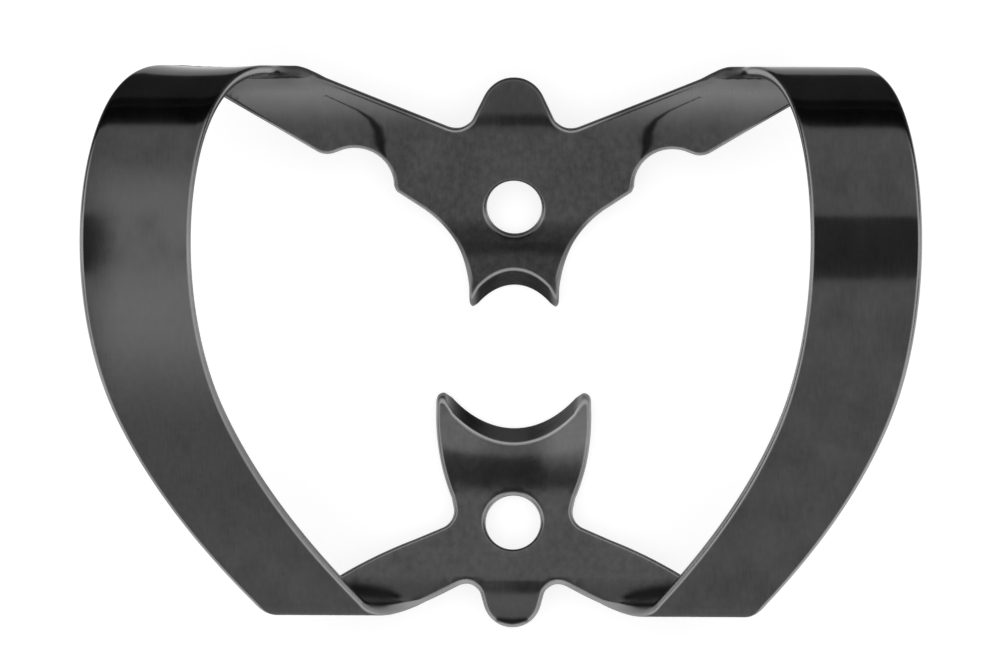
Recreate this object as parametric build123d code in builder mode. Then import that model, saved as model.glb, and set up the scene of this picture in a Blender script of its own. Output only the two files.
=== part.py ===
from build123d import *
import math
import os

# Rubber dam clamp: two holed jaws and two arched bows, bent from one blank of spring steel.
# X runs from bow to bow, Y from the broad jaw to the narrow jaw, Z up. Both jaws rest on Z = 0.
# Lengths are in millimetres and angles in degrees.

sheet = 0.5  # thickness of the steel
edge_round = 0.2  # rounding of the bows' tumbled edges

# Bows: one band on each side, curved in the flat blank and then bent about lines along X
band_width = 4.86  # along X
bow_reach = 15.97  # middle of the band at its top, from the middle of the clamp
bow_sweep = 23.8  # radius of the band in the flat blank, at its top
limb_tuck = 0.42  # how much further in the band lies where it reaches the upright limb
narrow_arm_run = 1.93  # flat stretch from the narrow jaw's root to its bend
narrow_curl_radius = 1.0  # bend from the narrow jaw up to the bow
limb_rise = 1.93  # upright stretch above that bend
shoulder_radius = 6.0
crown_radius = 8.23
crown_turn = 40.0
back_radius = 12.9  # from the top of the bow down towards the broad jaw
back_slope = 36.4
broad_curl_radius = 0.95  # bend from the bow back under to the broad jaw
broad_arm_run = 0.53  # flat stretch from that bend to the broad jaw's root
bow_steps = 5  # sections along each stretch of the bow

# Narrow jaw: a run is level, and a drop lies along the sheet, both from the root, where tab and arms start
narrow_root = 9.513  # from the middle of the clamp
narrow_low_run = 5.19  # to the line on which the jaw rests
narrow_slope = 15.0
narrow_dish_radius = 2.6
narrow_tip_rise = 8.0
narrow_tip_drop = 7.96
narrow_hole_drop = 3.47
narrow_arm_near = 2.42  # half gap between the arms
narrow_arm_far = 10.23
narrow_near_angle = 21.5  # of the arm's edges to X, seen from above
narrow_far_angle = 30.0
narrow_tab_length = 2.2
narrow_tab_end_half = 0.9
narrow_tab_root_half = 1.84
narrow_notch_radius = 2.76
narrow_notch_run = 6.46  # to the deepest point of the notch
relief_radius = 1.71  # round cut between arm and wing
relief_x = 7.0
relief_drop = 0.79
bump_x = 8.3
bump_drop = 1.17
bump_round = 1.0
wing_x = 5.19
wing_drop = 2.75
wing_round = 0.25
narrow_waist_half = 3.95
narrow_waist_drop = 3.58
narrow_side_sag = 0.42  # hollow of the jaw's side
narrow_prong_half = 1.98

# Broad jaw, measured in the same way
broad_low_run = 5.04
broad_slope = 11.0
broad_dish_radius = 7.3
broad_tip_rise = 8.0
broad_tip_drop = 8.4
broad_hole_drop = 2.61
broad_arm_near = 1.98
broad_arm_far = 7.92
broad_near_angle = 29.0
broad_far_angle = 25.7
broad_tab_length = 1.95
broad_tab_end_half = 0.98
broad_tab_root_half = 1.43
broad_notch_radius = 4.87
broad_notch_run = 6.4
broad_neck_half = 2.5
broad_neck_drop = 2.62
broad_neck_round = 0.95
broad_waist_half = 2.72
broad_waist_drop = 3.7
broad_side_sag = 0.18  # swell of the jaw's side
broad_prong_half = 3.42

# Shared by both jaws
hole_radius = 1.25
tab_drop_angle = 10.0  # slope of the tab, down and outwards
tab_bend_radius = 1.7
tab_end_round = 1.25
tab_root_run = 0.42
tab_root_round = 0.5
prong_side = 0.3  # cut-off corner of a prong's tip
notch_lean = 52.0  # slope of the ground notch, from upright
spare = 1.0  # how far a sheet runs past its outline before it is cut


def cosine(angle):
    return math.cos(math.radians(angle))


def sine(angle):
    return math.sin(math.radians(angle))


def tangent(angle):
    return math.tan(math.radians(angle))


def root_height(low_run, dish_radius, slope):
    """Height of the middle of the sheet at a jaw's root."""
    dish_rise = dish_radius * (1 - cosine(slope))
    plate_run = low_run - dish_radius * sine(slope)
    return sheet / 2 + dish_rise + plate_run * tangent(slope)


def jaw_profile(low_run, dish_radius, slope, tip_rise, tip_drop, tab_length):
    """Face of a jaw's sheet from the side, with its root at X = 0 and its tab towards +X."""
    low = (-low_run, sheet / 2)
    with BuildSketch() as profile:
        with BuildLine():
            inner_dish = JernArc(low, (-1, 0), dish_radius, -tip_rise)
            PolarLine(inner_dish @ 1, tip_drop - low_run + spare, 180 - tip_rise)
            outer_dish = JernArc(low, (1, 0), dish_radius, slope)
            plate = Line(outer_dish @ 1, (0, root_height(low_run, dish_radius, slope)))
            bend = JernArc(plate @ 1, plate % 1, tab_bend_radius, -slope - tab_drop_angle)
            PolarLine(bend @ 1, tab_length + spare, -tab_drop_angle)
        trace(line_width=sheet)
    return profile.sketch


def notch_plane(root_plane, notch_run, notch_radius, low_run, tip_rise):
    """Plane across the leaning cylinder that grinds a jaw's notch."""
    outward = Vector(0, root_plane.y_dir.Y, 0).normalized()
    centre = outward * (abs(root_plane.origin.Y) - notch_run - notch_radius / cosine(notch_lean))
    height = sheet / 2 + (notch_run - low_run) * tangent(tip_rise)
    lean = outward * sine(notch_lean) + Vector(0, 0, cosine(notch_lean))
    return Plane(origin=centre + Vector(0, 0, height), x_dir=(1, 0, 0), z_dir=lean)


def tab_outline(end_half, root_half, tab_length, near):
    """Half of a tab, from its middle to the corner where the arm starts."""
    FilletPolyline(
        (0, tab_length),
        (end_half, tab_length),
        (root_half, tab_root_run),
        (near, 0),
        radius=[min(tab_end_round, 1.25 * end_half), tab_root_round],
    )


def tip_outline(prong_half, tip_drop, tab_length):
    """End of a prong, and the middle line that closes half a jaw."""
    Polyline(
        (prong_half, -tip_drop + prong_side),
        (prong_half - prong_side / 2, -tip_drop),
        (0, -tip_drop),
        (0, tab_length),
    )


def eased(travel, length, start, start_slope, end, end_slope):
    """Cubic from start to end over a length, with the given slopes at both."""
    share = travel / length
    rest = 1 - share
    start_part = rest * rest * ((1 + 2 * share) * start + share * length * start_slope)
    end_part = share * share * ((1 + 2 * rest) * end - rest * length * end_slope)
    return start_part + end_part


# Narrow jaw: the bent sheet is cut to its outline and its notch, as deep as the jaw is long
narrow_root_z = root_height(narrow_low_run, narrow_dish_radius, narrow_slope)
narrow_plane = Plane(
    origin=(0, narrow_root, narrow_root_z),
    x_dir=(1, 0, 0),
    z_dir=(0, -sine(narrow_slope), cosine(narrow_slope)),
)
narrow_side = Plane(origin=(0, narrow_root, 0), x_dir=(0, 1, 0), z_dir=(1, 0, 0))

with BuildPart() as narrow_jaw:
    with BuildSketch(narrow_side):
        add(
            jaw_profile(
                narrow_low_run,
                narrow_dish_radius,
                narrow_slope,
                narrow_tip_rise,
                narrow_tip_drop,
                narrow_tab_length,
            )
        )
    extrude(amount=narrow_arm_far + spare, both=True)
    with BuildSketch(narrow_plane):
        with BuildLine():
            tab_outline(narrow_tab_end_half, narrow_tab_root_half, narrow_tab_length, narrow_arm_near)
            Line((narrow_arm_near, 0), (narrow_arm_far, 0))
            FilletPolyline(
                (narrow_arm_far, 0),
                (bump_x, -bump_drop),
                (relief_x, -relief_drop),
                radius=bump_round,
            )
            relief = JernArc((relief_x, -relief_drop), (-1, 0), relief_radius, 90)
            FilletPolyline(
                relief @ 1,
                (wing_x, -wing_drop),
                (narrow_waist_half, -narrow_waist_drop),
                radius=wing_round,
            )
            SagittaArc(
                (narrow_waist_half, -narrow_waist_drop),
                (narrow_prong_half, -narrow_tip_drop + prong_side),
                -narrow_side_sag,
            )
            tip_outline(narrow_prong_half, narrow_tip_drop, narrow_tab_length)
        make_face()
        mirror(about=Plane.YZ)
        with Locations((0, -narrow_hole_drop)):
            Circle(hole_radius, mode=Mode.SUBTRACT)
    extrude(amount=narrow_tip_drop, both=True, mode=Mode.INTERSECT)
    with BuildSketch(
        notch_plane(
            narrow_plane,
            narrow_notch_run,
            narrow_notch_radius,
            narrow_low_run,
            narrow_tip_rise,
        )
    ):
        Circle(narrow_notch_radius)
    extrude(amount=narrow_tip_drop, both=True, mode=Mode.SUBTRACT)

# Line that the middle of the bow's sheet follows, seen from the side, where X is the clamp's Y
broad_root_z = root_height(broad_low_run, broad_dish_radius, broad_slope)
with BuildLine():
    narrow_arm = PolarLine((narrow_root, narrow_root_z), narrow_arm_run, narrow_slope)
    narrow_curl = JernArc(narrow_arm @ 1, narrow_arm % 1, narrow_curl_radius, 90 - narrow_slope)
    limb = PolarLine(narrow_curl @ 1, limb_rise, 90)
    shoulder = JernArc(limb @ 1, limb % 1, shoulder_radius, 90 - crown_turn)
    crown = JernArc(shoulder @ 1, shoulder % 1, crown_radius, crown_turn)
    back_curve = JernArc(crown @ 1, crown % 1, back_radius, back_slope)
    curl_height = broad_curl_radius * (cosine(back_slope) + cosine(broad_slope))
    arm_drop = broad_arm_run * sine(broad_slope)
    back_drop = (back_curve @ 1).Y - broad_root_z - arm_drop - curl_height
    back = PolarLine(back_curve @ 1, back_drop / sine(back_slope), 180 + back_slope)
    broad_curl = JernArc(back @ 1, back % 1, broad_curl_radius, 180 - back_slope - broad_slope)
    broad_arm = PolarLine(broad_curl @ 1, broad_arm_run, -broad_slope)

bow_runs = [narrow_arm, narrow_curl, limb, shoulder, crown, back_curve, back, broad_curl, broad_arm]
bow_length = sum(run.length for run in bow_runs)
narrow_end = narrow_arm.length + narrow_curl.length + limb.length
bow_top = narrow_end + shoulder.length + crown.length


def band_middle(travel):
    """X of the middle of the band, a distance along the bow from the narrow jaw's root."""
    tuck = limb_tuck * (max(bow_top - travel, 0) / (bow_top - narrow_end)) ** 3
    return bow_reach - (travel - bow_top) ** 2 / (2 * bow_sweep) - tuck


def narrow_edges(travel):
    """X of a narrow arm's edges: straight as far as its bend, then eased into the band."""
    near_slope = cosine(narrow_slope) / tangent(narrow_near_angle)
    far_slope = cosine(narrow_slope) / tangent(narrow_far_angle)
    straight = min(travel, narrow_arm.length)
    near = narrow_arm_near + straight * near_slope
    far = narrow_arm_far + straight * far_slope
    past = travel - straight
    length = narrow_end - narrow_arm.length
    middle = band_middle(narrow_end)
    slope = (bow_top - narrow_end) / bow_sweep + 3 * limb_tuck / (bow_top - narrow_end)
    near = eased(past, length, near, near_slope, middle - band_width / 2, slope)
    far = eased(past, length, far, far_slope, middle + band_width / 2, slope)
    return near, far


def broad_edges(past):
    """X of a broad arm's edges, a distance past the start of its bend."""
    length = broad_curl.length + broad_arm.length
    start = bow_length - length
    middle = band_middle(start)
    slope = (bow_top - start) / bow_sweep
    near_slope = -cosine(broad_slope) / tangent(broad_near_angle)
    far_slope = -cosine(broad_slope) / tangent(broad_far_angle)
    near = eased(past, length, middle - band_width / 2, slope, broad_arm_near, near_slope)
    far = eased(past, length, middle + band_width / 2, slope, broad_arm_far, far_slope)
    return near, far


def band_edges(travel):
    """X of the band's near and far edge, a distance along the bow from the narrow jaw's root."""
    broad_start = bow_length - broad_curl.length - broad_arm.length
    if travel < narrow_end:
        return narrow_edges(travel)
    if travel > broad_start:
        return broad_edges(travel - broad_start)
    middle = band_middle(travel)
    return middle - band_width / 2, middle + band_width / 2


def bow_section(run, share, travel):
    """One cross-section of the band: its plane and its width."""
    near, far = band_edges(travel)
    place = run @ share
    heading = run % share
    section_plane = Plane(
        origin=((near + far) / 2, place.X, place.Y),
        x_dir=(1, 0, 0),
        z_dir=(0, heading.X, heading.Y),
    )
    return section_plane, far - near


# Bow on the +X side
with BuildPart() as bow:
    passed = 0
    sections = []
    for run in bow_runs:
        for step in range(bow_steps):
            share = step / bow_steps
            sections.append(bow_section(run, share, passed + share * run.length))
        passed += run.length
    sections.append(bow_section(broad_arm, 1, bow_length))
    for section_plane, width in sections:
        with BuildSketch(section_plane):
            RectangleRounded(width, sheet, edge_round)
    loft()

# Broad jaw, at the end of the bow
broad_root = (broad_arm @ 1).X
broad_plane = Plane(
    origin=(0, broad_root, broad_root_z),
    x_dir=(-1, 0, 0),
    z_dir=(0, sine(broad_slope), cosine(broad_slope)),
)
broad_side = Plane(origin=(0, broad_root, 0), x_dir=(0, -1, 0), z_dir=(-1, 0, 0))

with BuildPart() as broad_jaw:
    with BuildSketch(broad_side):
        add(
            jaw_profile(
                broad_low_run,
                broad_dish_radius,
                broad_slope,
                broad_tip_rise,
                broad_tip_drop,
                broad_tab_length,
            )
        )
    extrude(amount=broad_arm_far + spare, both=True)
    with BuildSketch(broad_plane):
        with BuildLine():
            tab_outline(broad_tab_end_half, broad_tab_root_half, broad_tab_length, broad_arm_near)
            Line((broad_arm_near, 0), (broad_arm_far, 0))
            FilletPolyline(
                (broad_arm_far, 0),
                (broad_neck_half, -broad_neck_drop),
                (broad_waist_half, -broad_waist_drop),
                radius=broad_neck_round,
            )
            SagittaArc(
                (broad_waist_half, -broad_waist_drop),
                (broad_prong_half, -broad_tip_drop + prong_side),
                broad_side_sag,
            )
            tip_outline(broad_prong_half, broad_tip_drop, broad_tab_length)
        make_face()
        mirror(about=Plane.YZ)
        with Locations((0, -broad_hole_drop)):
            Circle(hole_radius, mode=Mode.SUBTRACT)
    extrude(amount=broad_tip_drop, both=True, mode=Mode.INTERSECT)
    with BuildSketch(
        notch_plane(
            broad_plane,
            broad_notch_run,
            broad_notch_radius,
            broad_low_run,
            broad_tip_rise,
        )
    ):
        Circle(broad_notch_radius)
    extrude(amount=broad_tip_drop, both=True, mode=Mode.SUBTRACT)

# The clamp is one piece of steel
with BuildPart() as clamp:
    add(narrow_jaw.part)
    add(broad_jaw.part)
    add(bow.part)
    add(mirror(bow.part, about=Plane.YZ, mode=Mode.PRIVATE))

clamp.part.label = "clamp"
os.makedirs("parts", exist_ok=True)
export_step(clamp.part, "parts/clamp.step")
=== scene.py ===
import bpy
import math
import numpy as np
from mathutils import Matrix, Vector
from mathutils.geometry import delaunay_2d_cdt


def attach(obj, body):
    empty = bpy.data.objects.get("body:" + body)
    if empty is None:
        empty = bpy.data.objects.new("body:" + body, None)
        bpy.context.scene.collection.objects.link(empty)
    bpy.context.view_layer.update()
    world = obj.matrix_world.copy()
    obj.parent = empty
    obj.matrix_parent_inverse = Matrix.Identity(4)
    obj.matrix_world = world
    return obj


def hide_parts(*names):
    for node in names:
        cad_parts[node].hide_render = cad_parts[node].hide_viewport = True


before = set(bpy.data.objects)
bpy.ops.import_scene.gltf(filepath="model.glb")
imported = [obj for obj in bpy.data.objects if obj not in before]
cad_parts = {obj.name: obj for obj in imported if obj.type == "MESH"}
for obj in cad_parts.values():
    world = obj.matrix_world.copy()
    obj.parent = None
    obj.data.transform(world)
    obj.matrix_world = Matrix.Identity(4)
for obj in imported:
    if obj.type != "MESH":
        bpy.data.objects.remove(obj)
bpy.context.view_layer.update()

# The clamp is drawn as a flat blank in millimetres: x across, w along the sheet. From the narrow jaw's tips,
# where w is below 0, it runs past that jaw's root at 0, over the bows to the broad jaw's root at BOW, and on
# to that jaw's tips. The blank is meshed, then bent to shape.
MM = 0.001
SHEET = 0.5
TUMBLE = 0.2  # rounding of the outline's edges
HOLE = 1.21  # radius of the forceps holes
HOLE_ROUND = 0.2
GROUND_ROUND = 0.05  # the ridge of a ground notch is nearly sharp
GROUND_FADE = 0.7  # how far past the notch its sharp edge fades into the rounded one
RIM = 0.01  # points nearer to an edge than this lie on it
NOTCH_LEAN = math.radians(52)
SHEAR_FADE = 1.5  # how far from a notch the sheet leans with it

# Bow. The bends of its arms are tighter than in the solids.
BAND = 4.86
REACH = 15.97
SWEEP = 23.8
LIMB_TUCK = 0.42  # how much further in the band lies where it reaches the narrow limb
BACK_SLOPE = math.radians(36.4)
NARROW_RUN = 2.35  # flat stretch from the narrow root to its bend
LIMB_RISE = 2.35  # upright stretch above that bend
NARROW_CURL = 0.45  # this and the next four are radii of bends, from the narrow arm to the broad one
SHOULDER = 6.0
CROWN = 8.23
BACK_CURVE = 12.9
BROAD_CURL = 0.95
CROWN_TURN = math.radians(40)
BROAD_RUN = 0.53  # flat stretch from the broad bend to the jaw's root
BROAD_ARM_BEND = (0.4, 0.8)  # radius of the broad arms' own bend, from near their inner edge to the bow
BROAD_ARM_SPREAD = (4.4, 6.2)  # where across the arm that bend opens out
BROAD_FADE = 4.0  # how far along the bow that bend fades
LIMB_CUP = 0.12  # how hollow the upright stretch of the -X bow is across the band
CUP_START = 0.8
CUP_PAST = 3.5  # how far past the upright stretch the hollow reaches
CUP_END = 3.0

# Jaws: low_run, dish, slope and rise make the side profile; near and far are the edges of an arm at the root
TAB_BEND = 1.7
TAB_DROP = math.radians(10)
TAB_ROOT_RUN = 0.42
TAB_ROOT_ROUND = 0.5
TAB_SPAN = 3.0  # no tab is longer than this
VALLEY_REACH = 0.42  # rounding of the valleys between tab and arms
TIP_RUN = 6.0  # how far a jaw's profile is drawn past its lowest place, towards the tips
TAB_RUN_OUT = 4.0  # how far it is drawn past the root, for the tab
NARROW = dict(
    root=9.513, low_run=5.19, slope=math.radians(15), dish=2.6, rise=math.radians(8), tip=7.54, hole=3.47,
    near=2.42, far=10.23, near_angle=math.radians(21.5), far_angle=math.radians(30),
    tab=2.2, tab_end=0.9, tab_root=1.84, tab_round=1.45,
    notch_radius=2.76, notch_run=6.46, prong=1.98, tip_round=0.13, tip_reach=0.45, tip_spare=0.6,
)
BROAD = dict(
    low_run=5.04, slope=math.radians(11), dish=7.3, rise=math.radians(8), tip=7.96, hole=2.61,
    near=1.98, far=7.92, near_angle=math.radians(29), far_angle=math.radians(25.7),
    tab=1.95, tab_end=0.98, tab_root=1.43, tab_round=1.28,
    notch_radius=4.87, notch_run=6.4, prong=3.42, tip_round=0.26, tip_reach=0.75, tip_spare=0.7,
)

# Sides of the jaws, as x and w on the +X side
NARROW_ELBOW = (8.3, -1.17)
ELBOW_ROUND = 0.9
RELIEF_TOP = (7.0, -0.79)  # the round relief beside the narrow plate
RELIEF_RADIUS = 1.71
RELIEF_START = -0.3
RELIEF_COUNT = 34
NARROW_EAR = (5.19, -2.75)  # the small corner below the relief
EAR_ROUND = 0.25
NARROW_FLANK = (3.95, -3.58)
NARROW_SAG = -0.42
BROAD_SHOULDER = (4.3, -1.84)
SHOULDER_SAG = 0.1
BROAD_NECK = (2.5, -2.62)
NECK_ROUND = 0.8
BROAD_FLANK = (2.72, -3.7)
BROAD_SAG = 0.18

# Mesh of the blank
OUTLINE_STEP = 0.1
ARC_SHARE = 0.7  # points on an arc are closer together by this
PROFILE_STEP = 0.005
SAME = 0.02  # points nearer than this are one point
BOW_STEPS = (0.16, 0.09, 0.16, 0.25, 0.3, 0.3, 0.3, 0.075, 0.13)  # one for each stretch of the bow
EDGE_COUNTS = (104, 260, 56)  # points on an edge of the narrow arm, the bow and the broad arm
HOLE_COUNT = 84
BAND_INSET = 0.55
BAND_COLUMNS = 11
GRID = 0.2
GRID_HALF = 12.0
NARROW_GRID = (-8.2, 2.6)
BROAD_GRID = (-2.2, 8.6)  # from the broad root
TAB_HALVES = (1.7, 1.4)  # the grid's half width on the narrow and the broad tab
ROOT_GAP = 0.05
ROUND_TURNS = (0.15, 0.27, 0.39, 0.5)  # rows of points round an edge, in half turns
OWN_SHARE = 0.97  # a point beside an edge is kept if no other edge is nearer
MARK_ROOM = 0.03
GRID_ROOM = 0.06
MARK_CLEAR = 0.08
EDGE_SAMPLES = 600


def root_height(jaw):
    plate = jaw["low_run"] - jaw["dish"] * math.sin(jaw["slope"])
    return SHEET / 2 + jaw["dish"] * (1 - math.cos(jaw["slope"])) + plate * math.tan(jaw["slope"])


def trace_line(angle_at, length, step=0.01):
    """Points along a line whose heading is a function of the distance: distance, y and z."""
    travel = np.linspace(0, length, int(length / step) + 1)
    middle = (travel[1:] + travel[:-1]) / 2
    pace = np.diff(travel)
    heading = angle_at(middle)
    y = np.concatenate([[0], np.cumsum(np.cos(heading) * pace)])
    z = np.concatenate([[0], np.cumsum(np.sin(heading) * pace)])
    return travel, y, z


def jaw_line(jaw):
    """A jaw's side profile: place along the plate, outward distance from the root, and height."""
    outer = jaw["dish"] * jaw["slope"]
    plate = (jaw["low_run"] - jaw["dish"] * math.sin(jaw["slope"])) / math.cos(jaw["slope"])

    def slope_at(travel):
        past = travel - TIP_RUN
        bent = np.clip(past / jaw["dish"], -jaw["rise"], jaw["slope"])
        return bent - np.clip((past - outer - plate) / TAB_BEND, 0, jaw["slope"] + TAB_DROP)

    root = TIP_RUN + outer + plate
    travel, y, z = trace_line(slope_at, root + TAB_RUN_OUT)
    y = y - np.interp(root, travel, y)
    z = z - np.interp(root, travel, z)
    along = y * math.cos(jaw["slope"]) + z * math.sin(jaw["slope"])
    return along, y, z + root_height(jaw)


def bow_line():
    """The bow's side profile from root to root: distance, y and z, and where each stretch ends."""
    upright = math.pi / 2
    stretches = [  # length and turn
        (NARROW_RUN, 0),
        (NARROW_CURL * (upright - NARROW["slope"]), upright - NARROW["slope"]),
        (LIMB_RISE, 0),
        (SHOULDER * (upright - CROWN_TURN), upright - CROWN_TURN),
        (CROWN * CROWN_TURN, CROWN_TURN),
        (BACK_CURVE * BACK_SLOPE, BACK_SLOPE),
    ]
    rise = NARROW_RUN * math.sin(NARROW["slope"]) + NARROW_CURL * math.cos(NARROW["slope"]) + LIMB_RISE
    rise += SHOULDER * math.cos(CROWN_TURN) + CROWN * (1 - math.cos(CROWN_TURN))
    fall = BACK_CURVE * (1 - math.cos(BACK_SLOPE)) + BROAD_RUN * math.sin(BROAD["slope"])
    fall += BROAD_CURL * (math.cos(BACK_SLOPE) + math.cos(BROAD["slope"]))
    drop = root_height(NARROW) + rise - fall - root_height(BROAD)
    turn = math.pi - BACK_SLOPE - BROAD["slope"]
    stretches += [(drop / math.sin(BACK_SLOPE), 0), (BROAD_CURL * turn, turn), (BROAD_RUN, 0)]
    ends = np.concatenate([[0], np.cumsum([length for length, _ in stretches])])
    headings = NARROW["slope"] + np.concatenate([[0], np.cumsum([turn for _, turn in stretches])])
    travel, y, z = trace_line(lambda s: np.interp(s, ends, headings), ends[-1], PROFILE_STEP)
    return travel, y + NARROW["root"], z + root_height(NARROW), ends


bow_travel, bow_y, bow_z, bow_ends = bow_line()
BOW = bow_ends[-1]
LIMB_TOP = bow_ends[3]
BOW_TOP = bow_ends[5]
BACK_END = bow_ends[7]
BROAD["root"] = -bow_y[-1]
BROAD_LIMB_TRAVEL = BACK_END + BROAD_CURL * (math.pi / 2 - BACK_SLOPE)
BROAD_LIMB = -float(np.interp(BROAD_LIMB_TRAVEL, bow_travel, bow_y))
NARROW["line"] = jaw_line(NARROW)
BROAD["line"] = jaw_line(BROAD)

# Painted shade standing in for dark reflections at the bends of the arms, along the crease and the curl, and
# a dark spot on the broad tab: x, w and half width at each point of a mark, on the +X side
CREASE_SHADE = [(8.23, 1.64, 0.02), (6.87, 1.0, 0.05), (6.3, 0.6, 0.1), (5.95, 0.09, 0.24),
          (5.88, -0.45, 0.3), (5.8, -0.81, 0.14), (5.64, -1.1, 0.05)]
CURL_SHADE = [(5.05, BOW - 0.8, 0.2), (5.5, BOW - 0.72, 0.34), (6.2, BOW - 0.62, 0.4), (7.0, BOW - 0.5, 0.4)]
TAB_SPOT = [(0, BOW - 1.68, 0.13), (0.62, BOW - 1.6, 0.1)]
MARKS = (CREASE_SHADE, CURL_SHADE, TAB_SPOT)
MARK_GAPS = (-0.3, -0.2, -0.1, -0.05, 0, 0.05, 0.1, 0.2, 0.3)  # rows of points beside a mark
MARK_STEP = 0.12
MARK_FINE_STEP = 0.05
MARK_EDGE = 4  # how sharply a mark ends
MARK_MIDDLE = 0.05  # points of a mark nearer to the middle are not mirrored


def hermite(share, length, start, start_slope, end, end_slope):
    rest = 1 - share
    first = rest * rest * ((1 + 2 * share) * start + share * length * start_slope)
    return first + share * share * ((1 + 2 * rest) * end - rest * length * end_slope)


def band_middle(travel):
    """Middle of the band at a distance along the bow, and how it leans there."""
    limb = BOW_TOP - LIMB_TOP
    ahead = max(BOW_TOP - travel, 0) / limb
    middle = REACH - (travel - BOW_TOP) ** 2 / (2 * SWEEP) - LIMB_TUCK * ahead ** 3
    return middle, (BOW_TOP - travel) / SWEEP + 3 * LIMB_TUCK * ahead ** 2 / limb


def narrow_edges(travel):
    """Edges of a narrow arm: straight as far as its bend, then eased into the band."""
    middle, lean = band_middle(LIMB_TOP)
    straight = min(travel, NARROW_RUN)
    length = LIMB_TOP - NARROW_RUN
    share = (travel - straight) / length
    edges = []
    for name, side in (("near", -1), ("far", 1)):
        slope = math.cos(NARROW["slope"]) / math.tan(NARROW[name + "_angle"])
        start = NARROW[name] + straight * slope
        edges.append(hermite(share, length, start, slope, middle + side * BAND / 2, lean))
    return edges


def broad_edges(travel):
    """Edges of a broad arm, from the start of its bend to the jaw's root."""
    middle, lean = band_middle(BACK_END)
    length = BOW - BACK_END
    share = (travel - BACK_END) / length
    edges = []
    for name, side in (("near", -1), ("far", 1)):
        slope = -math.cos(BROAD["slope"]) / math.tan(BROAD[name + "_angle"])
        edges.append(hermite(share, length, middle + side * BAND / 2, lean, BROAD[name], slope))
    return edges


def band_edges(travel):
    """Near and far edge of the band at a distance along the bow."""
    if travel < LIMB_TOP:
        return narrow_edges(travel)
    if travel > BACK_END:
        return broad_edges(travel)
    middle, _ = band_middle(travel)
    return middle - BAND / 2, middle + BAND / 2


def spread(path, step):
    """Adds points so that no stretch of a polyline is longer than a step."""
    out = [np.array(path[0], float)]
    for p in path[1:]:
        p = np.array(p, float)
        gap = np.linalg.norm(p - out[-1])
        start = out[-1]
        count = max(1, int(math.ceil(gap / step)))
        out += [start + (p - start) * k / count for k in range(1, count + 1)]
    return out


def corner_arc(before, corner, after, radius, step):
    """Points of the arc that rounds a corner, or the corner itself where nothing is to be rounded."""
    into = (corner - before) / np.linalg.norm(corner - before)
    out = (after - corner) / np.linalg.norm(after - corner)
    turn = math.atan2(into[0] * out[1] - into[1] * out[0], into @ out)
    if radius <= 0 or abs(turn) < 1e-4:
        return [corner]
    reach = radius * math.tan(abs(turn) / 2)
    side = np.array([-into[1], into[0]]) * math.copysign(1, turn)
    centre = corner - into * reach + side * radius
    spoke = -side * radius
    count = max(3, int(radius * abs(turn) / (step * ARC_SHARE)))
    arc = []
    for a in (turn * k / count for k in range(count + 1)):
        arc.append(centre + np.array([spoke[0] * math.cos(a) - spoke[1] * math.sin(a),
                                      spoke[0] * math.sin(a) + spoke[1] * math.cos(a)]))
    return arc


def rounded(points, radii, step=OUTLINE_STEP):
    """A polyline with its inner corners rounded, as points about one step apart."""
    points = [np.array(p, float) for p in points]
    path = [points[0]]
    for before, corner, after, radius in zip(points, points[1:], points[2:], radii):
        path += corner_arc(before, corner, after, radius, step)
    path.append(points[-1])
    return spread(path, step)


def bowed(start, end, sag, count=40):
    """An arc from start to end that stands off its chord by sag, to the left of the way."""
    start, end = np.array(start, float), np.array(end, float)
    chord = end - start
    side = np.array([-chord[1], chord[0]]) / np.linalg.norm(chord)
    return [start + chord * t + side * sag * 4 * t * (1 - t) for t in np.linspace(0, 1, count + 1)]


def notch_curve(jaw, turns=160, step=0.08):
    """Right half of the line where a notch's leaning grind meets the middle of the sheet."""
    along, y, _ = jaw["line"]
    depth = jaw["notch_radius"] / math.cos(NOTCH_LEAN)
    centre = -jaw["notch_run"] - depth
    points = []
    for turn in np.linspace(0, math.pi / 2, turns):
        x = jaw["notch_radius"] * math.sin(turn)
        place = np.interp(centre + depth * math.cos(turn), y, along)
        if x > jaw["prong"]:
            break
        points.append((x, place))
    return spread(points, step)


def tab_edge(jaw):
    """Right half of a tab's edge, from its middle to the valley beside the arm."""
    return rounded(
        [(0, jaw["tab"]), (jaw["tab_end"], jaw["tab"]), (jaw["tab_root"], TAB_ROOT_RUN), (jaw["near"], 0)],
        [jaw["tab_round"], TAB_ROOT_ROUND],
    )


def narrow_side():
    """Right edge of the narrow jaw, from its root to the prong's tip."""
    jaw = NARROW
    relief = []
    for a in np.linspace(RELIEF_START, math.pi / 2, RELIEF_COUNT):
        relief.append((RELIEF_TOP[0] - RELIEF_RADIUS * math.sin(a),
                       RELIEF_TOP[1] - RELIEF_RADIUS * (1 - math.cos(a))))
    path = rounded([(jaw["far"], 0), NARROW_ELBOW, relief[0]], [ELBOW_ROUND]) + relief[1:]
    path += rounded([relief[-1], NARROW_EAR, NARROW_FLANK], [EAR_ROUND])[1:]
    path += bowed(NARROW_FLANK, (jaw["prong"], -jaw["tip"] + jaw["tip_spare"]), NARROW_SAG)[1:]
    return spread(path, OUTLINE_STEP)


def broad_side():
    """Right edge of the broad jaw, from its root to the prong's tip."""
    jaw = BROAD
    path = bowed((jaw["far"], 0), BROAD_SHOULDER, SHOULDER_SAG)
    path += rounded([BROAD_SHOULDER, BROAD_NECK, BROAD_FLANK], [NECK_ROUND])[1:]
    path += bowed(BROAD_FLANK, (jaw["prong"], -jaw["tip"] + jaw["tip_spare"]), BROAD_SAG)[1:]
    return spread(path, OUTLINE_STEP)


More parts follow.
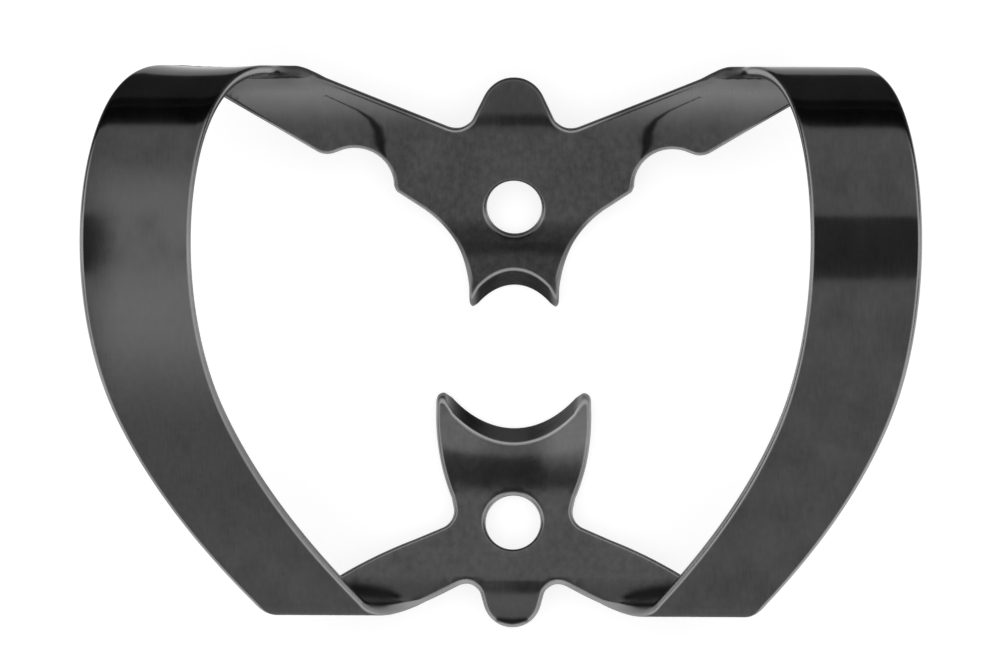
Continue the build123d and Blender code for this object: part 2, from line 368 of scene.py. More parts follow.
def jaw_end(jaw, side):
    """Right edge of a jaw, round the prong's tip to the middle of the notch, and the notch's part of it."""
    notch = notch_curve(jaw)
    left = max(k for k, p in enumerate(notch) if p[0] < jaw["prong"] - jaw["tip_reach"])
    tip = rounded([side[-1], notch[-1], notch[left]], [jaw["tip_round"]], OUTLINE_STEP / 2)
    notch = notch[:left + 1]
    return side + tip[1:] + list(reversed(notch))[1:], notch


def flip(points):
    return [(-p[0], p[1]) for p in reversed(points)]


def tidy_loop(points):
    """Drops repeated points of a closed loop."""
    kept = []
    for p in points:
        if not kept or math.dist(p, kept[-1]) > SAME:
            kept.append((float(p[0]), float(p[1])))
    if math.dist(kept[0], kept[-1]) < SAME:
        kept.pop()
    return kept


def soften(points, corner, reach, count=13):
    """Rounds the corner of an open line that lies at the given point, over a reach to each side."""
    points = [np.array(p, float) for p in points]
    gaps = [np.linalg.norm(p - corner) for p in points]
    middle = int(np.argmin(gaps))
    first = max(k for k in range(middle) if gaps[k] > reach)
    last = min(k for k in range(middle, len(points)) if gaps[k] > reach)
    curve = [points[first] * (1 - t) ** 2 + points[middle] * 2 * t * (1 - t) + points[last] * t ** 2
             for t in np.linspace(0, 1, count)]
    return points[:first] + curve + points[last + 1:]


def on_broad(points):
    """Places measured outwards from the broad root, as places in the blank."""
    return [(p[0], BOW - p[1]) for p in points]


def hole_loop(middle):
    turns = np.linspace(0, 2 * math.pi, HOLE_COUNT, endpoint=False)
    return [(HOLE * math.sin(a), middle + HOLE * math.cos(a)) for a in turns]


def blank_loops():
    """Closed outlines of the blank (outer edge, inner edge, two holes) and the right half of each notch."""
    stations = np.concatenate([
        np.linspace(0, LIMB_TOP, EDGE_COUNTS[0]),
        np.linspace(LIMB_TOP, BACK_END, EDGE_COUNTS[1])[1:],
        np.linspace(BACK_END, BOW, EDGE_COUNTS[2])[1:],
    ])
    near = [(band_edges(s)[0], s) for s in stations]
    far = [(band_edges(s)[1], s) for s in stations]
    narrow_end, narrow_notch = jaw_end(NARROW, narrow_side())
    broad_end, broad_notch = jaw_end(BROAD, broad_side())
    right = list(reversed(narrow_end)) + far + on_broad(broad_end)
    outer = tidy_loop(right + flip(right))
    right = tab_edge(NARROW) + near + list(reversed(on_broad(tab_edge(BROAD))))
    right = soften(right, (NARROW["near"], 0), VALLEY_REACH)
    right = soften(right, (BROAD["near"], BOW), VALLEY_REACH)
    inner = tidy_loop(right + flip(right))
    loops = [outer, inner, hole_loop(-NARROW["hole"]), hole_loop(BOW + BROAD["hole"])]
    notches = [narrow_notch, on_broad(broad_notch)]
    return [np.array(loop) for loop in loops], [np.array(notch) for notch in notches]


def distance_to(points, path, closed=True, batch=400):
    """Distance from each point to a polyline."""
    start = path
    end = np.roll(path, -1, axis=0)
    if not closed:
        start, end = path[:-1], path[1:]
    span = end - start
    size = np.maximum((span ** 2).sum(1), 1e-12)
    best = np.zeros(len(points))
    for k in range(0, len(points), batch):
        p = points[k:k + batch, None, :]
        t = np.clip(((p - start) * span).sum(2) / size, 0, 1)
        gap = np.linalg.norm(p - (start + t[..., None] * span), axis=2)
        best[k:k + batch] = gap.min(1)
    return best


def edge_gap(points, loops):
    """Distance from each point to the nearest of some closed loops."""
    return np.min([distance_to(points, loop) for loop in loops], axis=0)


def inside(points, loop):
    """Whether each point is inside a closed loop."""
    x, y = points[:, 0], points[:, 1]
    found = np.zeros(len(points), bool)
    for (x0, y0), (x1, y1) in zip(loop, np.roll(loop, -1, axis=0)):
        crosses = (y0 > y) != (y1 > y)
        if crosses.any():
            found ^= crosses & (x < x0 + (y - y0) * (x1 - x0) / (y1 - y0))
    return found


def in_blank(points, loops):
    held = inside(points, loops[0])
    for loop in loops[1:]:
        held &= ~inside(points, loop)
    return held


def beside(line, along, gaps):
    """Rows of points beside a line at each gap; along is its heading at each point."""
    along = along / np.linalg.norm(along, axis=1)[:, None]
    side = np.stack([-along[:, 1], along[:, 0]], axis=1)
    return [line + side * gap for gap in gaps]


def edge_points(loops):
    """Rows of points beside every edge, close enough together to carry its rounding."""
    found = []
    for loop in loops:
        along = np.roll(loop, -1, axis=0) - np.roll(loop, 1, axis=0)
        for turn in ROUND_TURNS:
            gap = TUMBLE * (1 - math.cos(math.pi * turn))
            points = np.concatenate(beside(loop, along, (gap, -gap)))
            points = points[in_blank(points, loops)]
            found.append(points[edge_gap(points, loops) > gap * OWN_SHARE])
    return found


def bow_stations():
    """Distances along the bow, closer together where it bends sharply."""
    stops = []
    for start, end, step in zip(bow_ends, bow_ends[1:], BOW_STEPS):
        count = int(math.ceil((end - start) / step))
        stops += [start + (end - start) * k / count for k in range(count)]
    return stops + [BOW]


def band_points():
    """Inner points of both bows, in rows across the band."""
    found = []
    for s in bow_stations()[1:-1]:
        near, far = band_edges(s)
        inner = np.linspace(near + BAND_INSET, far - BAND_INSET, BAND_COLUMNS)
        found += [(side * x, s) for x in inner for side in (1, -1)]
    return found


def jaw_points():
    """Inner points of both jaws and their tabs, on a grid."""
    across = np.arange(-GRID_HALF, GRID_HALF + 0.01, GRID)
    rows = [(w, w > -ROOT_GAP, TAB_HALVES[0]) for w in np.arange(*NARROW_GRID, GRID)]
    broad = np.arange(BOW + BROAD_GRID[0], BOW + BROAD_GRID[1], GRID)
    rows += [(w, w < BOW + ROOT_GAP, TAB_HALVES[1]) for w in broad]
    found = []
    for w, on_tab, half in rows:
        found += [(x, w) for x in across if not on_tab or abs(x) < half]
    return found


def mark_points():
    """Points beside the painted dark marks, so that the mesh can carry them."""
    found = []
    for mark in MARKS:
        line = np.array(spread([p[:2] for p in mark], MARK_STEP))
        found += beside(line, np.gradient(line, axis=0), MARK_GAPS)
    right = np.concatenate(found)
    return np.concatenate([right, right[right[:, 0] > MARK_MIDDLE] * (-1, 1)])


def blank_points(loops):
    """Every point of the mesh of the blank; the loops' own points come first."""
    marks = mark_points()
    marks = marks[in_blank(marks, loops)]
    marks = marks[edge_gap(marks, loops) > TUMBLE + MARK_ROOM]
    inner = np.array(band_points() + jaw_points())
    inner = inner[in_blank(inner, loops)]
    inner = inner[edge_gap(inner, loops) > TUMBLE + GRID_ROOM]
    clear = np.min(np.linalg.norm(inner[:, None] - marks[None], axis=2), axis=1) > MARK_CLEAR
    return np.concatenate(loops + edge_points(loops) + [marks, inner[clear]])


def blank_mesh(loops):
    """Points and triangles of the flat blank."""
    points = blank_points(loops)
    edges, start = [], 0
    for loop in loops:
        count = len(loop)
        edges += [(start + k, start + (k + 1) % count) for k in range(count)]
        start += count
    made = delaunay_2d_cdt([Vector(p) for p in points], edges, [], 0, 1e-6)
    flat = np.array([(v.x, v.y) for v in made[0]])
    triangles = np.array([f for f in made[2] if len(f) == 3])
    centres = flat[triangles].mean(axis=1)
    return flat, triangles[in_blank(centres, loops)]


def ease(value):
    """Smooth step from 0 to 1."""
    value = np.clip(value, 0, 1)
    return value * value * (3 - 2 * value)


def stretch(value, start, rise, end, fall):
    """Eases from 0 to 1 past the start, and back to 0 before the end."""
    return ease((value - start) / rise) * ease((end - value) / fall)


EDGE_TRAVEL = np.linspace(0, BOW, EDGE_SAMPLES)
NEAR_EDGE, FAR_EDGE = np.array([band_edges(s) for s in EDGE_TRAVEL]).T


def curl_rise(out, limb, radius):
    """Height that a bend of a given radius adds before the sheet stands upright at the limb."""
    past = np.clip(out - (limb - radius), 0, radius)
    return radius - np.sqrt(radius * radius - past * past)


def broad_arm(width, y):
    """Height of a broad arm between its root and the limb; its bend opens out towards the bow."""
    plate = root_height(BROAD) + (-y - BROAD["root"]) * math.tan(BROAD["slope"])
    share = ease((width - BROAD_ARM_SPREAD[0]) / (BROAD_ARM_SPREAD[1] - BROAD_ARM_SPREAD[0]))
    radius = BROAD_ARM_BEND[0] + (BROAD_ARM_BEND[1] - BROAD_ARM_BEND[0]) * share
    return plate + curl_rise(-y, BROAD_LIMB, radius)


def bow_place(x, w):
    """Place of the sheet on arms and bows. The broad arms' own bend fades into the bow."""
    y = np.interp(w, bow_travel, bow_y)
    z = np.interp(w, bow_travel, bow_z)
    width = np.abs(x)
    limb_height = np.interp(BROAD_LIMB_TRAVEL, bow_travel, bow_z)
    limb_shift = broad_arm(width, np.full_like(y, -BROAD_LIMB)) - limb_height
    arch = z + limb_shift * ease(1 - (BROAD_LIMB_TRAVEL - w) / BROAD_FADE)
    near, far = (np.interp(w, EDGE_TRAVEL, edge) for edge in (NEAR_EDGE, FAR_EDGE))
    across = np.clip((2 * width - near - far) / (far - near), -1, 1)
    upright = stretch(w, NARROW_RUN, CUP_START, LIMB_TOP + CUP_PAST, CUP_END)
    y = y - np.where(x < 0, LIMB_CUP, 0) * (1 - across ** 2) * upright
    return np.stack([x, y, np.where(w > BROAD_LIMB_TRAVEL, broad_arm(width, y), arch)], axis=1)


def jaw_place(x, w, jaw, way):
    """Place of the sheet on a jaw or its tab."""
    place = w if way == 1 else BOW - w
    along, out, height = jaw["line"]
    y = way * (jaw["root"] + np.interp(place, along, out))
    return np.stack([x, y, np.interp(place, along, height)], axis=1)


def bend(flat):
    """Place and upward normal of the middle of the sheet for each point of the blank."""
    x, w = flat[:, 0], flat[:, 1]
    width = np.abs(x)
    narrow = (w <= 0) | ((w < TAB_SPAN) & (width < NARROW["near"]))
    broad = (w >= BOW) | ((w > BOW - TAB_SPAN) & (width < BROAD["near"]))
    bow = ~(narrow | broad)

    def place(x, w):
        made = np.zeros((len(x), 3))
        made[bow] = bow_place(x[bow], w[bow])
        made[narrow] = jaw_place(x[narrow], w[narrow], NARROW, 1)
        made[broad] = jaw_place(x[broad], w[broad], BROAD, -1)
        return made

    step = 0.01
    across = place(x + step, w) - place(x - step, w)
    along = place(x, w + step) - place(x, w - step)
    normal = np.cross(across, along)
    return place(x, w), normal / np.linalg.norm(normal, axis=1)[:, None]


def half_height(gap, radius):
    """Half the sheet's thickness at a distance from an edge with that rounding."""
    short = np.clip(radius - gap, 0, radius)
    return SHEET / 2 - radius + np.sqrt(radius ** 2 - short ** 2)


def edge_pairs(triangles):
    """Edges that only one triangle has, in that triangle's direction."""
    sides = np.concatenate([triangles[:, [0, 1]], triangles[:, [1, 2]], triangles[:, [2, 0]]])
    known = {tuple(e) for e in sides.tolist()}
    return [e for e in sides.tolist() if (e[1], e[0]) not in known]


def closed_sheet(triangles, count):
    """Triangles of the upper face, the lower face and, last, the walls between them."""
    walls = []
    for a, b in edge_pairs(triangles):
        walls += [(b, a, a + count), (b, a + count, b + count)]
    return np.concatenate([triangles, triangles[:, ::-1] + count, np.array(walls)])


def notch_gaps(flat, notches):
    """Distance from each point to the narrow and to the broad notch."""
    gaps = []
    for curve in notches:
        whole = np.concatenate([curve[::-1] * (-1, 1), curve[1:]])
        gaps.append(distance_to(flat, whole, closed=False))
    return gaps


def sheet_faces(flat, half, gaps):
    """Points of the upper and then the lower face; beside a notch the sheet leans with its grind."""
    middle, normal = bend(flat)
    layers = []
    for side in (1, -1):
        place = middle + normal * (side * half)[:, None]
        for gap, way in zip(gaps, (1, -1)):
            lean = np.clip(1 - gap / SHEAR_FADE, 0, 1) * side * half * math.tan(NOTCH_LEAN)
            place[:, 1] += way * lean
        layers.append(place)
    return np.concatenate(layers)


def clamp_mesh():
    """The clamp's bent and rounded sheet: points, triangles, which of these are smooth, and surface marks."""
    loops, notches = blank_loops()
    flat, triangles = blank_mesh(loops)
    count = len(flat)
    gaps = notch_gaps(flat, notches)
    outline = edge_gap(flat, loops[:2])
    holes = edge_gap(flat, loops[2:])
    gap = np.minimum(outline, holes)
    ground = 1 - ease((np.minimum(*gaps) - outline) / GROUND_FADE)
    half = half_height(outline, TUMBLE + (GROUND_ROUND - TUMBLE) * ground)
    half = np.minimum(half, half_height(holes, HOLE_ROUND))
    faces = closed_sheet(triangles, count)
    first_wall = 2 * len(triangles)
    ground_rim = ground * (gap < RIM)
    smooth = np.ones(len(faces), bool)
    smooth[first_wall:] = (ground_rim[faces[first_wall:] % count] < 0.5).any(axis=1)
    marks = surface_marks(flat, gap, ground, ground_rim)
    sides = np.repeat([1.0, -1.0], count)
    marks["blank"] = np.concatenate([np.tile(flat, (2, 1)), sides[:, None]], axis=1)
    return sheet_faces(flat, half, gaps), faces, smooth, marks


# Look of the steel along the blank, with its painted shade, sheen and highlights. A stretch is its start,
# rise, end and fall.
RIDGE_WEAR = 1.5
RIDGE_WIDTH = 0.12
WEAR_FADE = 0.06
PLAIN_ARM = 0.8  # share of the wear that the edges of the narrow arms lack
HOLE_WEAR = 0.15  # wear on the outward side of a hole; its inward side is worn fully
HOLE_TURN = 0.6  # where round a hole the one becomes the other
ARM_PAINTED_SHEEN = 0.6  # painted sheen: the narrow arms are painted lightest beside their bend
ARM_RISE = 2.6
ARM_PAST = 0.3
ON_BOW = (BOW_TOP - 4.5, 2, BACK_END, 6)
BOW_HIGHLIGHT = (BOW_TOP - 4.5, 4, BOW_TOP + 9, 7.5)  # painted highlight on the -X bow
DULL_WIDTH = 18.4  # the -X bow is dull up to here, with a soft border
DULL_BORDER = 2
NARROW_BEND = (1.6, 0.8, 4.2, 0.8)
BROAD_BEND = (BACK_END, 0.8, BOW + 0.1, 0.5)
NARROW_TIP = 4.4  # where the dull tips begin, from the roots
BROAD_TIP = 4.2
BROAD_TIP_SIDE = 0.5
TIP_DULL = 0.6
TAB_DULL = 0.4
TAB_HALF = 2
TAB_RUN = 2
JAW_PAST = 0.6
SOFT = 1.2  # how softly jaws and tips begin
# Painted highlight on the broad jaw and its tips
LIGHT_TIP = 4.6
LIGHT_SIDE = 0.6
LIGHT_SOFT = 1.5
LIGHT_LEFT = 0.35  # how light the painted highlight on the broad jaw's tips is on the -X side
LIGHT_RIGHT = 1.1  # and on the +X side
BROAD_LIGHT = 0.2
BROAD_PAST = 2
RIGHT_BOW_SHADE = 0.15  # painted shade: how much darker the +X bow is painted, where it reflects less light
GROUND_TONE = 0.5  # how much darker the ground wall of a notch is
NARROW_SHADE = (3.8, 0.7, 6.1, 0.7)  # painted shade on the dished end of the narrow jaw, from the narrow root towards the tips
SHADE_DEPTH = 0.62
SHADE_FADE = (0.3, 4.7, 0.8)  # what it loses towards the tips, from where and how softly
# painted shade on the dished end of the broad jaw
BROAD_SHADE = (BOW + 3.5, 0.7, BOW + 5.7, 0.7)
BROAD_SHADE_DEPTH = 0.25
BROAD_SHADE_SIDE = (1.8, 0.8)  # its half width and soft border


def dark_marks(flat):
    """How strongly a painted dark mark (painted shade at the arms' bends, or the spot on the broad tab) shows
    at each point, from 0 to 1.
    """
    place = flat * np.where(flat[:, :1] < 0, (-1, 1), (1, 1))
    shown = np.zeros(len(flat))
    for mark in MARKS:
        line = np.array(spread(mark, MARK_FINE_STEP))
        gap = np.linalg.norm(place[:, None, :] - line[None, :, :2], axis=2) / line[:, 2]
        shown = np.maximum(shown, np.exp(-gap.min(axis=1) ** MARK_EDGE))
    return shown


def rim_wear(x, w, gap, ground):
    """How worn the edges are: a notch's ridge, the tumbled edges and the inward side of each hole."""
    ridge = RIDGE_WEAR * np.clip((RIDGE_WIDTH - gap) / WEAR_FADE, 0, 1) * (gap > RIM)
    wear = ground * ridge + (1 - ground) * np.clip((TUMBLE - gap) / WEAR_FADE, 0, 1)
    wear *= 1 - PLAIN_ARM * stretch(w, 0, 1, LIMB_TOP, 1)
    inward = np.where(w < BOW / 2, -NARROW["hole"] - w, w - BOW - BROAD["hole"])
    at_hole = np.hypot(x, inward) < HOLE + TUMBLE
    share = HOLE_WEAR + (1 - HOLE_WEAR) * ease(HOLE_TURN + inward / HOLE)
    return np.where(at_hole, wear * share, wear)


def arm_painted_sheen(width, w):
    """Painted sheen: the narrow arms are painted brighter towards their bend."""
    return ARM_PAINTED_SHEEN * ease(w / ARM_RISE) * (w < NARROW_RUN + ARM_PAST) * (width > NARROW["near"])


def left_bow(x, w):
    return (x < 0) * ease((DULL_WIDTH - np.abs(x)) / DULL_BORDER) * stretch(w, *ON_BOW)


def dullness(x, w):
    """The -X bow, the arms' bends, the tabs and the jaws' tips are duller than the rest."""
    width = np.abs(x)
    bends = np.maximum(stretch(w, *NARROW_BEND), stretch(w, *BROAD_BEND) * (width > BROAD["near"]))
    broad_tip = ease((x - BROAD_TIP_SIDE) / SOFT) * ease((w - BOW - BROAD_TIP) / SOFT)
    tips = np.maximum(ease((-NARROW_TIP - w) / SOFT), broad_tip)
    on_tab = np.maximum((w > 0) * (w < TAB_RUN), (w > BOW - TAB_RUN) * (w < BOW))
    tabs = (width < TAB_HALF) * on_tab
    return np.max([left_bow(x, w), bends, TIP_DULL * tips, TAB_DULL * tabs], axis=0)


def painted_highlight(x, w):
    """Painted highlight: a light patch on the -X bow, and the broad jaw with its tips."""
    patch = left_bow(x, w) * stretch(w, *BOW_HIGHLIGHT)
    broad = BROAD_LIGHT * ease((w - BOW + BROAD_PAST) / SOFT)
    tips = ease((w - BOW - LIGHT_TIP) / LIGHT_SOFT) * np.where(x < 0, LIGHT_LEFT, LIGHT_RIGHT)
    return patch + broad + tips * ease((np.abs(x) - LIGHT_SIDE) / LIGHT_SOFT)


def darkness(flat):
    """Painted shade: dark reflections at the arms' bends, the dished ends of the jaws and, a little, the +X
    bow; and the dark spot on the broad tab.
    """
    x, w = flat.T
    deep = SHADE_DEPTH - SHADE_FADE[0] * ease((-w - SHADE_FADE[1]) / SHADE_FADE[2])
    narrow = deep * stretch(-w, *NARROW_SHADE)
    across = ease((BROAD_SHADE_SIDE[0] - np.abs(x)) / BROAD_SHADE_SIDE[1])
    broad = BROAD_SHADE_DEPTH * stretch(w, *BROAD_SHADE) * across
    right = RIGHT_BOW_SHADE * (x > 0) * stretch(w, *ON_BOW)
    return np.max([dark_marks(flat), narrow, broad, right], axis=0)


def surface_marks(flat, gap, ground, ground_rim):
    """How worn, dull and mottled the steel is at each point, with painted shade, sheen and highlights and the
    darker ground walls, first above and then below.
    """
    x, w = flat.T
    # the wear attribute also carries the painted sheen of the narrow arms
    wear = np.maximum(rim_wear(x, w, gap, ground), arm_painted_sheen(np.abs(x), w))
    jaw = np.maximum(ease((JAW_PAST - w) / SOFT), ease((w - BOW + JAW_PAST) / SOFT))
    ground_tone = GROUND_TONE * ground_rim
    # mark holds painted shade and the darker ground walls of the notches; light holds painted highlight
    return {
        "wear": np.tile(wear, 2),
        "mark": np.concatenate([np.maximum(darkness(flat), ground_tone), ground_tone]),
        "dull": np.tile(dullness(x, w), 2),
        "light": np.tile(painted_highlight(x, w), 2),
        "jaw": np.tile(jaw, 2),
    }


def mesh_object(name, points, faces, smooth):
    mesh = bpy.data.meshes.new(name)
    mesh.from_pydata((points * MM).tolist(), [], faces.tolist())
    mesh.polygons.foreach_set("use_smooth", smooth)
    mesh.update()
    made = bpy.data.objects.new(name, mesh)
    bpy.context.scene.collection.objects.link(made)
    return made


def make_clamp():
    """The clamp's mesh, with its place in the blank and its surface marks as attributes."""
    points, faces, smooth, marks = clamp_mesh()
    made = mesh_object("clamp_steel", points, faces, smooth)
    blank = made.data.attributes.new("blank", "FLOAT_VECTOR", "POINT")
    blank.data.foreach_set("vector", marks.pop("blank").astype(np.float32).ravel())
    for name, values in marks.items():
        attribute = made.data.attributes.new(name, "FLOAT", "POINT")
        attribute.data.foreach_set("value", values.astype(np.float32))
    return made


# Tone and gloss of the steel, each with what grain, blotches, wear and painted light (shade, sheen and
# highlights) add
GRAIN = (16.0, 0.9, 5.0)  # pace of a pattern across, along and through the blank
BLOTCH = (0.55, 0.4, 5.0)
MOTTLE = (3.4, 2.6, 5.0)
GRAIN_RANGE = (0.3, 0.7)
BLOTCH_RANGE = (0.35, 0.65)
MOTTLE_RANGE = (0.36, 0.64)
EDGE_TINT = (0.65, 0.65, 0.65, 1)  # keeps steel seen at a low angle dark
BACK_FACING = (0.25, 0.7)  # painted shade: the lightening of worn edges fades on edges that face +Y
BACK_SHADED_WEAR = 0.1
TONE = (0.055, 0.069)
GRAIN_TONE = 0.006
MOTTLE_TONE = (0.003, 0.009)
WEAR_AND_SHEEN_TONE = 0.25
# how much the painted highlight lightens the steel
LIGHT_TONE = 0.1
MARK_TONE = 0.18
GLOSS = (0.11, 0.15)
GRAIN_GLOSS = 0.02
WORN_GLOSS = 0.14
DULL_GLOSS = (0.25, 0.4)
JAW_GLOSS = 0.07
BUMP_STRENGTH = 0.05
BUMP_DEPTH = 0.00002


def attribute_value(tree, name, output="Fac"):
    made = tree.nodes.new("ShaderNodeAttribute")
    made.attribute_name = name
    return made.outputs[output]


def noise(tree, pace, detail, roughness):
    """A pattern laid out on the blank, from 0 to 1."""
    mapping = tree.nodes.new("ShaderNodeMapping")
    mapping.inputs["Scale"].default_value = pace
    tree.links.new(attribute_value(tree, "blank", "Vector"), mapping.inputs["Vector"])
    made = tree.nodes.new("ShaderNodeTexNoise")
    made.inputs["Scale"].default_value = 1.0
    made.inputs["Detail"].default_value = detail
    made.inputs["Roughness"].default_value = roughness
    tree.links.new(mapping.outputs[0], made.inputs["Vector"])
    return made.outputs["Fac"]


def ranged(tree, source, span, out):
    """Turns one range of values into another, and holds its ends."""
    made = tree.nodes.new("ShaderNodeMapRange")
    for name, value in zip(("From Min", "From Max", "To Min", "To Max"), (*span, *out)):
        made.inputs[name].default_value = value
    tree.links.new(source, made.inputs["Value"])
    return made.outputs["Result"]


def maths(tree, kind, a, b):
    made = tree.nodes.new("ShaderNodeMath")
    made.operation = kind
    for socket, value in zip(made.inputs, (a, b)):
        if isinstance(value, float):
            socket.default_value = value
        else:
            tree.links.new(value, socket)
    return made.outputs[0]


def total(tree, *parts):
    """Sum of some values."""
    made = parts[0]
    for part in parts[1:]:
        made = maths(tree, "ADD", made, part)
    return made


def edge_wear_and_painted_shade(tree):
    """The wear attribute, with painted shade: less on edges that face +Y."""
    normal = tree.nodes.new("ShaderNodeSeparateXYZ")
    tree.links.new(tree.nodes.new("ShaderNodeNewGeometry").outputs["Normal"], normal.inputs[0])
    facing = ranged(tree, normal.outputs["Y"], BACK_FACING, (1.0, BACK_SHADED_WEAR))
    return maths(tree, "MULTIPLY", attribute_value(tree, "wear"), facing)


def steel_tone(tree, grain, blotch, worn):
    """Grey of the steel, with painted shade and painted highlights."""
    mottle = ranged(tree, noise(tree, MOTTLE, detail=3.0, roughness=0.6), MOTTLE_RANGE, (-1.0, 1.0))
    mottled = ranged(tree, attribute_value(tree, "jaw"), (0.0, 1.0), MOTTLE_TONE)
    tone = total(
        tree,
        ranged(tree, grain, GRAIN_RANGE, (-GRAIN_TONE, GRAIN_TONE)),
        ranged(tree, blotch, BLOTCH_RANGE, TONE),
        maths(tree, "MULTIPLY", mottle, mottled),
        maths(tree, "MULTIPLY", worn, WEAR_AND_SHEEN_TONE),
        maths(tree, "MULTIPLY", attribute_value(tree, "light"), LIGHT_TONE),
    )
    # the mark attribute darkens with painted shade and the darker ground walls
    marked = ranged(tree, attribute_value(tree, "mark"), (0.0, 1.0), (1.0, MARK_TONE))
    return maths(tree, "MULTIPLY", tone, marked)


def steel_gloss(tree, grain, blotch, worn):
    """Roughness of the steel."""
    dulled = ranged(tree, blotch, BLOTCH_RANGE, DULL_GLOSS)
    return total(
        tree,
        ranged(tree, grain, GRAIN_RANGE, (-GRAIN_GLOSS, GRAIN_GLOSS)),
        ranged(tree, blotch, BLOTCH_RANGE, GLOSS),
        maths(tree, "MULTIPLY", worn, WORN_GLOSS),
        maths(tree, "MULTIPLY", attribute_value(tree, "dull"), dulled),
        maths(tree, "MULTIPLY", attribute_value(tree, "jaw"), JAW_GLOSS),
    )


def new_material(name):
    material = bpy.data.materials.new(name)
    material.use_nodes = True
    return material


def steel():
    """Black satin steel: fine grain along the sheet, blotches, mottled jaws, worn edges, and painted shade,
    sheen and highlights.
    """
    material = new_material("black_steel")
    tree = material.node_tree
    shader = tree.nodes["Principled BSDF"]
    shader.inputs["Metallic"].default_value = 1.0
    shader.inputs["Specular Tint"].default_value = EDGE_TINT
    grain = noise(tree, GRAIN, detail=4.0, roughness=0.6)
    blotch = noise(tree, BLOTCH, detail=3.0, roughness=0.5)
    # wear, with the painted sheen of the narrow arms and painted shade on edges that face +Y
    worn = edge_wear_and_painted_shade(tree)
    tone = steel_tone(tree, grain, blotch, worn)
    colour = tree.nodes.new("ShaderNodeCombineColor")
    for socket in list(colour.inputs)[:3]:
        tree.links.new(tone, socket)
    tree.links.new(colour.outputs[0], shader.inputs["Base Color"])
    tree.links.new(steel_gloss(tree, grain, blotch, worn), shader.inputs["Roughness"])
    bump = tree.nodes.new("ShaderNodeBump")
    bump.inputs["Strength"].default_value = BUMP_STRENGTH
    bump.inputs["Distance"].default_value = BUMP_DEPTH
    tree.links.new(grain, bump.inputs["Height"])
    tree.links.new(bump.outputs[0], shader.inputs["Normal"])
    return material


clamp = make_clamp()
clamp.data.materials.append(steel())
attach(clamp, "root")
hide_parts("clamp")

# Floor, and cards that show in the steel, in metres
FLOOR_SIZE = 3.0
FLOOR_DROP = 0.00002
FLOOR_GREY = 0.4
FLOOR_GLOW = 0.76
CARD_WIDTH = 1.0
CARD_LIFT = 0.0001


def paper():
    """Pale floor that the camera and the steel see as white, and that keeps the shadow."""
    material = new_material("floor_paper")
    tree = material.node_tree
    tree.nodes.clear()
    matt = tree.nodes.new("ShaderNodeBsdfDiffuse")
    matt.inputs["Color"].default_value = (FLOOR_GREY, FLOOR_GREY, FLOOR_GREY, 1)
    path = tree.nodes.new("ShaderNodeLightPath")
    seen = maths(tree, "MAXIMUM", path.outputs["Is Camera Ray"], path.outputs["Is Glossy Ray"])
    glow = tree.nodes.new("ShaderNodeEmission")
    tree.links.new(maths(tree, "MULTIPLY", seen, FLOOR_GLOW), glow.inputs["Strength"])
    both = tree.nodes.new("ShaderNodeAddShader")
    tree.links.new(matt.outputs[0], both.inputs[0])
    tree.links.new(glow.outputs[0], both.inputs[1])
    surface = tree.nodes.new("ShaderNodeOutputMaterial")
    tree.links.new(both.outputs[0], surface.inputs[0])
    return material


def dark_card(name, start, end, tone):
    """A card on the floor behind the clamp, outside the picture, that shows only as a reflection."""
    bpy.ops.mesh.primitive_plane_add(size=CARD_WIDTH, location=(0, (start + end) / 2, CARD_LIFT))
    card = bpy.context.object
    card.name = name
    card.scale = (1, (end - start) / CARD_WIDTH, 1)
    paint = new_material(name)
    shader = paint.node_tree.nodes["Principled BSDF"]
    shader.inputs["Base Color"].default_value = (tone, tone, tone, 1)
    shader.inputs["Roughness"].default_value = 1.0
    card.data.materials.append(paint)
    card.visible_camera = False
    card.visible_diffuse = False
    card.visible_shadow = False
    card.visible_transmission = False


bpy.ops.mesh.primitive_plane_add(size=FLOOR_SIZE, location=(0, 0, -FLOOR_DROP))
floor = bpy.context.object
floor.name = "floor"
floor.data.materials.append(paper())
dark_card("grey_card", start=0.0175, end=0.062, tone=0.16)
dark_card("black_card", start=0.062, end=1.0175, tone=0.012)

# Light: a long soft box behind and in front, a dim ceiling between them, a strip at each end, and a dim room
ROOM_GREY = 0.03
world = bpy.data.worlds.new("room")
world.use_nodes = True
background = world.node_tree.nodes["Background"]
background.inputs["Color"].default_value = (ROOM_GREY, ROOM_GREY, ROOM_GREY, 1)
bpy.context.scene.world = world


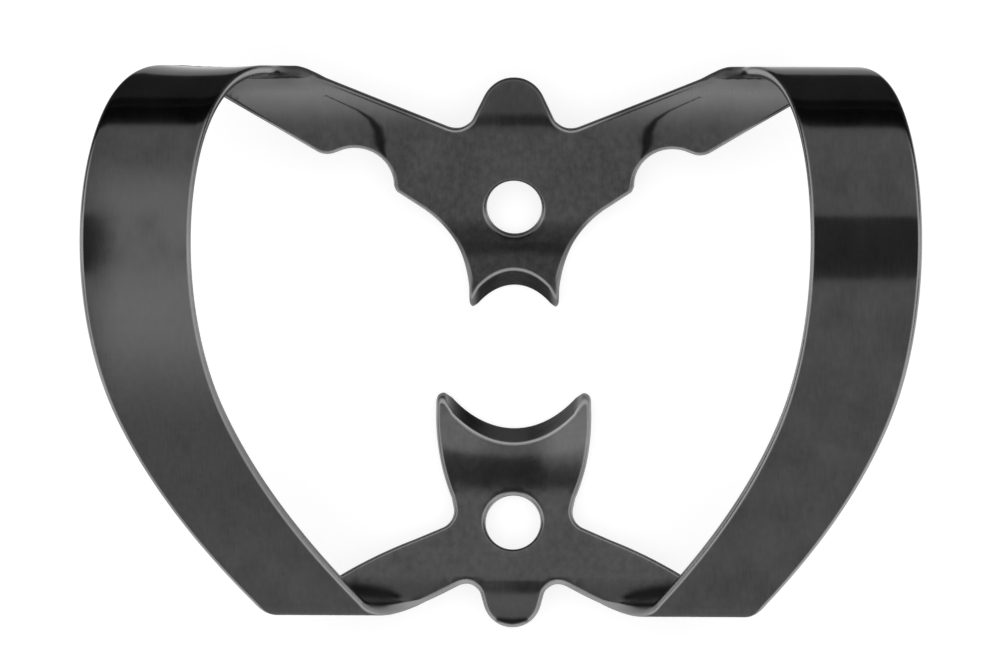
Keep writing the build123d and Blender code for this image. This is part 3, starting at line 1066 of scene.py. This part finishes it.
def soft_box(name, low, high, length, radiance, turn, distance=0.6):
    """A panel on one side that fills the angles from low to high, in degrees from straight up."""
    middle, half = math.radians((low + high) / 2), math.radians((high - low) / 2)
    light = bpy.data.lights.new(name, "AREA")
    light.shape = "RECTANGLE"
    light.size = length
    light.size_y = 2 * distance * math.tan(half)
    light.energy = radiance * math.pi * light.size * light.size_y
    lamp = bpy.data.objects.new(name, light)
    lamp.matrix_world = (
        Matrix.Rotation(math.radians(turn), 4, "Z") @ Matrix.Rotation(-middle, 4, "X")
        @ Matrix.Translation((0, 0, distance))
    )
    lamp.visible_camera = False
    bpy.context.scene.collection.objects.link(lamp)


soft_box("soft_box_back", low=15.5, high=72, length=1.6, radiance=1.0, turn=0)
soft_box("soft_box_front", low=14, high=92, length=1.6, radiance=1.0, turn=180)
soft_box("ceiling", low=-15, high=15, length=0.5, radiance=0.23, turn=0, distance=0.7)
soft_box("strip_left", low=24, high=84, length=0.5, radiance=1.0, turn=90, distance=1.1)
soft_box("strip_right", low=24, high=84, length=0.5, radiance=1.0, turn=-90, distance=1.1)

# Camera: nearly straight down, a little to the right of the middle
SCALE = 0.04382  # millimetres to a pixel of the picture, at half the clamp's height
PICTURE_WIDTH = 1000  # pixels
SENSOR = 36
TILT = math.radians(3.2)
LEAN = math.radians(-0.3)
ROLL = math.radians(0.23)
DISTANCE = 1.2
CLIP_START = 0.01
TARGET = Vector((-0.324, 0.623, 5.75)) * MM
camera_data = bpy.data.cameras.new("camera")
camera_data.sensor_width = SENSOR
camera_data.lens = SENSOR * DISTANCE / (PICTURE_WIDTH * SCALE * MM)
camera_data.clip_start = CLIP_START
camera = bpy.data.objects.new("camera", camera_data)
turn = Matrix.Rotation(TILT, 4, "Y") @ Matrix.Rotation(LEAN, 4, "X") @ Matrix.Rotation(ROLL, 4, "Z")
camera.matrix_world = Matrix.Translation(TARGET) @ turn @ Matrix.Translation((0, 0, DISTANCE))
bpy.context.scene.collection.objects.link(camera)
bpy.context.scene.camera = camera
bpy.context.scene.view_settings.view_transform = "Standard"
